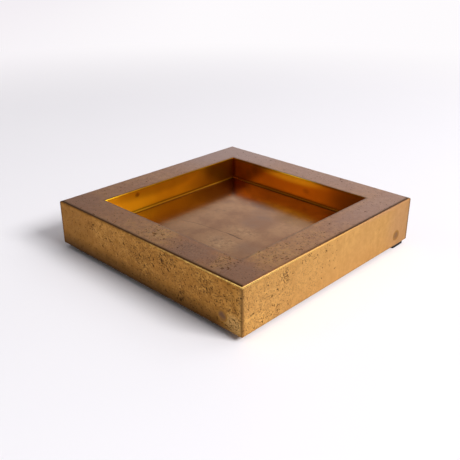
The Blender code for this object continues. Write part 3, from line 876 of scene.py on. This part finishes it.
# A scratch: a thin dark line on part of a wide arc, as something dragged across the floor leaves.
TREMBLE = 0.002
SCRATCH_STARTS, SCRATCH_ENDS = 0.008, 0.004
scratch, given, result = start_group(
    "scratch", ("Line",), East=0.0, North=0.0, Radius=0.1, Width=0.0004, From=-0.03, To=0.03)
apart = add_node(scratch, "SeparateXYZ", {0: given["Where"]})
tremble = speckle(given["Where"], 160.0, 3.0)
east = apart[0] - given["East"]
north = apart[1] - given["North"]
span = maths("SQRT", east * east + north * north)
off = maths("ABSOLUTE", span - given["Radius"] + (tremble - 0.5) * TREMBLE)
line = ramp(off, given["Width"] * 0.3, given["Width"], 1.0, 0.0)
begins = ramp(apart[0], given["From"], given["From"] + SCRATCH_STARTS)
ends = ramp(apart[0], given["To"] - SCRATCH_ENDS, given["To"], 1.0, 0.0)
feed(result, {"Line": line * begins * ends})

FLOOR_PINK, FLOOR_YELLOW, FLOOR_BARE = (0.52, 0.255, 0.13), (0.68, 0.36, 0.18), (0.93, 0.55, 0.28)
BROWN_AND_SHADE, PURPLE_BLOOM, SCRATCH_DIRT = (0.34, 0.155, 0.018), (0.36, 0.205, 0.155), (0.12, 0.06, 0.03)
rolled, tree, shader, where = start_material("rolled brass floor")
worn, dull, brown_and_shade, grime = (painted(tree, name) for name in ("worn", "dull", "brown_and_shade", "grime"))
clouds = use_group(mottling, where, Size=0.018, Spread=0.16)
worn = worn * (1.0 - clouds["Clouds"] * 0.6)
colour = blend(clouds["Clouds"], FLOOR_PINK, FLOOR_YELLOW)
# Browner places, and painted shade near the left wall and towards the back.
colour = blend(brown_and_shade * 0.9, colour, BROWN_AND_SHADE)
colour = blend(worn * (clouds["Fine"] * 0.7 + 0.3), colour, FLOOR_BARE)
dull = dull * (clouds["Clouds"] * 0.7 + 0.15)
colour = blend(dull * 0.95, colour, PURPLE_BLOOM)

# One long scratch, heavier over its last part, and a faint one that crosses it.
LONG_ARC = {"East": 0.0163, "North": -0.1947, "Radius": 0.173}
long_one = use_group(scratch, where, **LONG_ARC, Width=0.0006, From=-0.036, To=0.029)
heavy = use_group(scratch, where, **LONG_ARC, Width=0.0008, From=0.006, To=0.029)
faint = use_group(scratch, where, East=-0.15, North=0.20, Radius=0.27, Width=0.0004, From=-0.03, To=0.05)
marks = most(long_one * 0.5, most(heavy, faint * 0.2))
flecks = use_group(grain, where, Size=0.0024, Share=0.8)
specks = flecks["Dark"] * (worn * 0.4 + 0.05)
marks = most(most(marks, specks), ramp(grime, 0.1, 0.8))
colour = blend(marks * 0.75, colour, SCRATCH_DIRT)
lines = use_group(sanding, where, Spacing=0.0006, Length=0.06)
rough = lines * 0.05 + clouds["Fine"] * 0.04 + 0.11 + dull * 0.05
finish_metal(shader, colour, rough, bump(lines * 0.03 - marks, 0.3, 0.0001))
panel.data.materials.append(rolled)
panel.name = panel.data.name = "floor_plate_body"
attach(panel, "root")
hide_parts("floor_plate")


# Flush pins: plain brass pins driven through each side into the block behind it, and ground off level with the
# side. The ground ends have stained darker than the casting round them.
PIN_LENGTH = 0.0133
PIN_CHAMFER = 0.0001
PIN_SUNK = 0.00002
PIN_SIDES = 32
PIN_RINGS = 4
PIN_RING_WIDTH = 0.0009
CORNERS = ("front", "right", "back", "left")
PIN_STAINS = (1.0, 0.75, 0.9, 0.85)
PIN_BROWN, PIN_STAIN = (0.44, 0.21, 0.035), (0.155, 0.085, 0.062)
stained, tree, shader, where = start_material("stained pin end")
clouds = use_group(mottling, where, Size=0.004, Spread=0.2)
share = (painted(tree, "stain") * (clouds["Clouds"] * 0.4 + 0.6)).clip()
relief = use_group(sanding, where, Spacing=0.0003, Length=0.01)
colour = blend(share, PIN_BROWN, PIN_STAIN)
finish_metal(shader, colour, 0.52 + clouds["Fine"] * 0.12, bump(relief, 0.4, 0.00006))

bpy.ops.object.select_all(action="DESELECT")
bpy.ops.mesh.primitive_cylinder_add(
    vertices=PIN_SIDES, radius=PIN_RADIUS, depth=PIN_LENGTH, rotation=(math.radians(90), 0, 0),
    location=(PIN_ALONG, PIN_LENGTH / 2 - HALF_SIDE + PIN_SUNK, PIN_HEIGHT))
pin = bpy.context.object
bpy.ops.object.transform_apply(location=True, rotation=True, scale=True)
bpy.ops.object.mode_set(mode="EDIT")
pick(pin, "faces", lambda face: face.normal.y < -0.9)
bpy.ops.mesh.inset(thickness=PIN_CHAMFER)
bpy.ops.transform.translate(value=(0, -PIN_CHAMFER * 0.1, 0))
for ring in range(PIN_RINGS):
    bpy.ops.mesh.inset(thickness=PIN_RING_WIDTH)
bpy.ops.mesh.poke()
bpy.ops.object.mode_set(mode="OBJECT")
stain = [max(0, 1 - ((vertex.co - pin_places[0]).length / PIN_RADIUS) ** 2) for vertex in pin.data.vertices]
paint(pin, "stain", stain)
smooth()
pin.data.materials.append(stained)
for turn, (corner, strength) in enumerate(zip(CORNERS, PIN_STAINS)):
    piece = pin.copy()
    piece.data = pin.data.copy()
    piece.data.attributes["stain"].data.foreach_set("value", [strength * each for each in stain])
    bpy.context.scene.collection.objects.link(piece)
    piece.data.transform(quarter_turns(turn, 4))
    piece.name = piece.data.name = "pin_" + corner
    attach(piece, "root")
    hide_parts("flush_pin_" + corner)
bpy.data.objects.remove(pin)


# Base plate: rolled brass sheet let into the underside between the outer walls. It shows only from below, so it
# was left as rolled, with the long lines of the mill and a few stains.
MILL_DARK, MILL_PALE = (0.60, 0.36, 0.13), (0.70, 0.44, 0.17)
MILL_LINE, MILL_STAIN = (0.44, 0.26, 0.09), (0.36, 0.22, 0.10)
sheet_metal, tree, shader, where = start_material("mill finish base plate")
clouds = use_group(mottling, where, Size=0.05, Spread=0.25)
lines = use_group(sanding, where, Spacing=0.0012, Length=0.12)
colour = blend(clouds["Clouds"], MILL_DARK, MILL_PALE)
colour = blend(ramp(lines, 0.42, 0.7, 0.0, 0.5), colour, MILL_LINE)
colour = blend(clouds["Fine"] * 0.3, colour, MILL_STAIN)
finish_metal(shader, colour, 0.30 + lines * 0.2, bump(lines, 0.3, 0.0001))


def cover(node, material):
    """Gives a material to a part that keeps its own solid."""
    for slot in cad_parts[node].material_slots:
        slot.material = material


cover("base_plate", sheet_metal)


# Corner blocks: sawn brass blocks inside the channel, each held to the side by its pin and to the base plate by
# its screw. Only their material is set, since nothing of them shows.
SAWN_DARK, SAWN_PALE = (0.50, 0.31, 0.12), (0.72, 0.47, 0.19)
sawn, tree, shader, where = start_material("sawn brass block")
lines = use_group(sanding, where, Spacing=0.0012, Length=0.01)
finish_metal(shader, blend(lines, SAWN_DARK, SAWN_PALE), 0.35 + lines * 0.2)
for corner in CORNERS:
    cover("corner_block_" + corner, sawn)


# Screws: slotted countersunk brass screws, four through the base plate into the blocks and eight that hold the
# floor plate. The four below show their heads, with their slots darker deeper down; the eight stay inside the
# channel.
HEAD_RADIUS = 0.0031
HEAD_RIM = 0.0002
HEAD_HEIGHT = 0.0014
HEAD_CHAMFER = 0.00015
HEAD_SIDES = 32
SHANK_RADIUS = 0.0017
POINT_LENGTH = 0.001
POINT_SHARE = 0.6
SLOT_LENGTH = 0.01
SLOT_WIDTH = 0.0007
SLOT_DEPTH = 0.0006
SLOT_TURNS = (0.3, 1.2, 2.3, 0.8)
SCREW_DARK, SCREW_PALE, SLOT_DARK = (0.66, 0.42, 0.15), (0.80, 0.54, 0.20), (0.10, 0.07, 0.04)
turned_brass, tree, shader, where = start_material("turned screw brass")
clouds = use_group(mottling, where, Size=0.004, Spread=0.2)
colour = blend(clouds["Clouds"], SCREW_DARK, SCREW_PALE)
# The slots are darker deeper down.
colour = blend(painted(tree, "slot") * 0.8, colour, SLOT_DARK)
finish_metal(shader, colour, 0.22 + clouds["Fine"] * 0.2, bump(clouds["Fine"], 0.3, 0.00008))

for corner, turn in zip(CORNERS, SLOT_TURNS):
    screw_low, screw_high = (Vector(place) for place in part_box("base_screw_" + corner))
    middle = (screw_low + screw_high) / 2
    bpy.ops.object.select_all(action="DESELECT")
    bpy.ops.mesh.primitive_cylinder_add(vertices=HEAD_SIDES, radius=HEAD_RADIUS, depth=HEAD_RIM,
                                        location=(middle.x, middle.y, screw_low.z + HEAD_RIM / 2))
    screw = bpy.context.object
    bpy.ops.object.transform_apply(location=True, rotation=True, scale=True)
    bpy.ops.object.mode_set(mode="EDIT")
    centre = (middle.x, middle.y, 0)
    pick(screw, "faces", is_top)
    lift(HEAD_HEIGHT)
    spread(SHANK_RADIUS / HEAD_RADIUS, centre)
    lift(screw_high.z - screw_low.z - HEAD_HEIGHT - HEAD_RIM - POINT_LENGTH)
    lift(POINT_LENGTH)
    spread(POINT_SHARE, centre)
    pick(screw, "faces", is_underside)
    bpy.ops.mesh.inset(thickness=HEAD_CHAMFER)
    bpy.ops.object.mode_set(mode="OBJECT")
    bpy.ops.mesh.primitive_cube_add(size=1, location=(middle.x, middle.y, screw_low.z), rotation=(0, 0, turn))
    cutter = bpy.context.object
    cutter.scale = (SLOT_LENGTH, SLOT_WIDTH, SLOT_DEPTH * 2)
    cut = screw.modifiers.new("slot", "BOOLEAN")
    cut.object = cutter
    cut.solver = "EXACT"
    take_up(screw)
    bpy.ops.object.modifier_apply(modifier=cut.name)
    bpy.data.objects.remove(cutter)
    paint(screw, "slot", [
        min(1, max(0, (vertex.co.z - screw_low.z) / SLOT_DEPTH)) for vertex in screw.data.vertices])
    smooth()
    screw.data.materials.append(turned_brass)
    screw.name = screw.data.name = "base_screw_" + corner + "_turned"
    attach(screw, "root")
    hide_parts("base_screw_" + corner)
for number in range(1, 9):
    cover("floor_screw_" + str(number), turned_brass)


# Foot pads: square pads of black foam rubber stuck under the base plate. Their cut edges have gone soft, and they
# bulge a little where the weight rests on them.
PAD_CORNER = 0.0012
PAD_CORNER_STEPS = 4
PAD_EDGE = 0.0005
PAD_EDGE_STEPS = 3
PAD_CUTS = 11
PAD_LONG_EDGE = 0.008
PAD_UPRIGHT_EDGE = 0.001
PAD_CLEARANCE = 0.00003
PAD_WAIST = 0.00025
PAD_UNEVEN = 0.00018
PAD_UNEVEN_SCALE = 300
PAD_MIDDLE = 0.004
SOFT_EDGES = 50
RUBBER_BLACK, RUBBER_GREY = (0.006, 0.005, 0.006), (0.016, 0.014, 0.015)
rubber, tree, shader, where = start_material("black foam rubber")
clouds = use_group(mottling, where, Size=0.005, Spread=0.2)
cells = use_group(pin_holes, where, Spacing=0.0005, Share=0.7, Width=0.4)
feed(shader, {"Base Color": blend(clouds["Clouds"], RUBBER_BLACK, RUBBER_GREY), "Specular IOR Level": 0.25,
              "Roughness": 0.68 + clouds["Fine"] * 0.2, "Normal": bump(1.0 - cells, 0.5, 0.0001)})

for corner in CORNERS:
    pad_low, pad_high = (Vector(place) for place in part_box("foot_pad_" + corner))
    pad_high.z = LOWER_EDGE - PAD_CLEARANCE
    pad = add_cube("pad_" + corner, pad_low, pad_high)
    pick(pad, "edges", lambda edge: spans(edge)[2] > PAD_UPRIGHT_EDGE)
    bpy.ops.mesh.bevel(offset=PAD_CORNER, segments=PAD_CORNER_STEPS)
    pick(pad, "edges", lambda edge: max(spans(edge)) > 0 and spans(edge)[2] < SAME)
    bpy.ops.mesh.bevel(offset=PAD_EDGE, segments=PAD_EDGE_STEPS)
    pick(pad, "edges", lambda edge: max(spans(edge)) > PAD_LONG_EDGE)
    bpy.ops.mesh.subdivide(number_cuts=PAD_CUTS)
    bpy.ops.object.mode_set(mode="OBJECT")
    middle = (pad_low + pad_high) / 2
    for vertex in pad.data.vertices:
        rise = (vertex.co.z - pad_low.z) / (pad_high.z - pad_low.z)
        draw = PAD_UNEVEN * noise.noise(vertex.co * PAD_UNEVEN_SCALE) - PAD_WAIST * (1 - 4 * rise * (1 - rise))
        away = Vector((vertex.co.x - middle.x, vertex.co.y - middle.y, 0))
        if away.length > PAD_MIDDLE:
            vertex.co += away.normalized() * min(0, draw)
    smooth(SOFT_EDGES)
    pad.data.materials.append(rubber)
    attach(pad, "root")
    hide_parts("foot_pad_" + corner)


# Studio floor: a wide sheet of white paper. It takes the tray's shadow, and further off it stays as white as the
# backdrop. It is painted a little darker to the left, as painted shade for the light falling off from the right.
PAPER_SIZE = 12
PAPER_LEFT_SHADED, PAPER_RIGHT, FIBRES = (0.858, 0.841, 0.873), (0.893, 0.873, 0.911), (0.95, 0.95, 0.95)
GLOW_LEFT_SHADED, BACKDROP = (0.90, 0.862, 0.90), (0.99, 0.965, 0.985)
paper, tree, shader, where = start_material("white paper")
far = ramp(add_node(tree, "VectorMath", {0: where}, operation="LENGTH")["Value"], 0.45, 1.1)
across = add_node(tree, "VectorMath", {0: where, 1: LENS_RIGHT}, operation="DOT_PRODUCT")["Value"]
fibres = use_group(mottling, where, Size=0.2, Spread=0.4)
# Painted shade: the paper is darker to the left.
colour = blend(ramp(across, -0.45, 0.45), PAPER_LEFT_SHADED, PAPER_RIGHT)
colour = blend(fibres["Clouds"] * 0.1, colour, FIBRES)
feed(shader, {"Base Color": colour, "Roughness": 0.9, "Specular IOR Level": 0.1})
# Painted shade: the far paper and backdrop are darker to the left.
glow = blend(ramp(across, -0.9, 0.0), GLOW_LEFT_SHADED, BACKDROP)
plain = add_node(tree, "Emission", {"Color": glow, "Strength": 1.0})
rays = add_node(tree, "LightPath")
seen = most(rays["Is Camera Ray"], most(rays["Is Glossy Ray"], rays["Is Transmission Ray"]))
surface = add_node(tree, "MixShader", {0: seen * far, 1: Value(shader.outputs[0]), 2: plain})
feed(tree.nodes["Material Output"], {"Surface": surface})

bpy.ops.object.select_all(action="DESELECT")
bpy.ops.mesh.primitive_plane_add(size=PAPER_SIZE, location=(0, 0, 0))
sheet = bpy.context.object
sheet.name = sheet.data.name = "studio_floor"
sheet.data.materials.append(paper)


# Studio light: one wide softbox high on the right, and the room round it, which lights the tray softly and shows
# in its polished walls. The camera, and reflections low down, see a plain white backdrop instead of the room.
SOFTBOX_WAY = Vector((0.7708, 0.1638, 0.6157))
SOFTBOX_AWAY = 3.5
SOFTBOX_WIDTH = 1.5
SOFTBOX_HEIGHT = 1.1
SOFTBOX_POWER = 124

lamp = bpy.data.lights.new("softbox", "AREA")
lamp.shape = "RECTANGLE"
lamp.size = SOFTBOX_WIDTH
lamp.size_y = SOFTBOX_HEIGHT
lamp.energy = SOFTBOX_POWER
softbox = bpy.data.objects.new("softbox", lamp)
bpy.context.scene.collection.objects.link(softbox)
softbox.location = SOFTBOX_WAY * SOFTBOX_AWAY
softbox.rotation_euler = SOFTBOX_WAY.to_track_quat("Z", "Y").to_euler()

world = bpy.data.worlds.new("studio")
bpy.context.scene.world = world
world.use_nodes = True
tree = world.node_tree
apart = add_node(tree, "SeparateXYZ", {0: add_node(tree, "TexCoord")["Generated"]})
level_way = add_node(tree, "VectorMath", {
    0: add_node(tree, "CombineXYZ", {0: apart[0], 1: apart[1]})}, operation="NORMALIZE")


def towards(x, y):
    """How nearly a direction's bearing is that of a level direction: 1 along it, 0 square to it."""
    return add_node(tree, "VectorMath", {0: level_way, 1: (x, y, 0)}, operation="DOT_PRODUCT")["Value"]


def heights(stops):
    """The room's brightness by height, from the horizon, 0, to straight overhead, 1."""
    band = add_node(tree, "ValToRGB", {0: apart[2]})
    elements = band.socket.node.color_ramp.elements
    while len(elements) > 1:
        elements.remove(elements[0])
    for place, value in stops:
        stop = elements[0] if place == stops[0][0] else elements.new(place)
        stop.position = place
        stop.color = (value, value * 0.985, value, 1)
    return band


# The room: its wall on the left, and over that, one after another, its other sides and bright patches. Each has
# its bearing, how near to that bearing it begins and is full, and its brightness at some heights.
DARK_FOOT = ((0, 0.9), (0.12, 0.5), (0.24, 0.1))
LEFT_WALL = (
    (0, 0.3), (0.3, 0.38), (0.38, 0.30), (0.46, 0.15), (0.58, 0.10), (0.68, 0.4), (0.78, 0.3), (0.88, 0.3),
    (1, 0.8))
ROOM = (
    # The wall behind the tray.
    ((-0.10, 0.995), (0.55, 0.92), (
        (0, 0.9), (0.25, 0.88), (0.36, 0.74), (0.5, 0.42), (0.62, 0.18), (0.75, 0.2), (0.88, 0.8), (1, 0.9))),
    # The wall on the right, dark low down.
    ((0.94, 0.34), (0.50, 0.84), (
        *DARK_FOOT, (0.37, 0.12), (0.47, 0.5), (0.6, 0.6), (0.75, 0.6), (0.88, 1.0), (1, 0.9))),
    # The halo on that wall, round the softbox.
    ((0.966, 0.259), (0.90, 0.98), (
        (0, 0.3), (0.25, 0.15), (0.37, 0.3), (0.47, 1.0), (0.6, 1.4), (0.78, 1.0), (1, 0.9))),
    # A window behind and to the right, high up.
    ((0.454, 0.891), (0.91, 0.98), (
        *DARK_FOOT, (0.43, 0.15), (0.50, 1.2), (0.58, 2.2), (0.72, 2.2), (0.78, 0.4), (0.88, 0.9), (1, 0.9))),
    # The narrow glint between the window and the softbox.
    ((0.86, 0.51), (0.972, 0.992), (
        *DARK_FOOT, (0.38, 0.15), (0.48, 1.7), (0.62, 1.7), (0.7, 0.6), (1, 0.9))),
    # The unlit side behind the camera.
    ((0.10, -0.995), (0.1, 0.6), ((0, 0.10), (0.62, 0.12), (0.72, 0.12), (0.88, 0.15), (1, 0.4))),
    # A fill card on the left, near the camera.
    ((-0.743, -0.669), (0.93, 0.98), (
        (0, 0.12), (0.22, 0.25), (0.32, 0.5), (0.42, 1.0), (0.49, 1.9), (0.57, 1.9), (0.63, 0.8), (0.71, 0.7),
        (0.8, 0.2), (1, 0.5))),
    # A small bright crown high on the left.
    ((-0.927, -0.375), (0.93, 0.97), (
        (0, 0.2), (0.6, 0.15), (0.66, 0.3), (0.70, 0.5), (0.78, 0.5), (0.84, 0.2), (1, 0.5))),
)
room = heights(LEFT_WALL)
for bearing, (begins, full), stops in ROOM:
    room = blend(ramp(towards(*bearing), begins, full), room, heights(stops))
rays = add_node(tree, "LightPath")
low_down = ramp(apart[2], 0.02, 0.10, 1.0, 0.0)
seen = most(rays["Is Camera Ray"], most(rays["Is Glossy Ray"] * low_down, rays["Is Transmission Ray"]))
feed(tree.nodes["Background"], {"Color": blend(seen, room, BACKDROP)})
bpy.context.scene.view_settings.view_transform = "Standard"
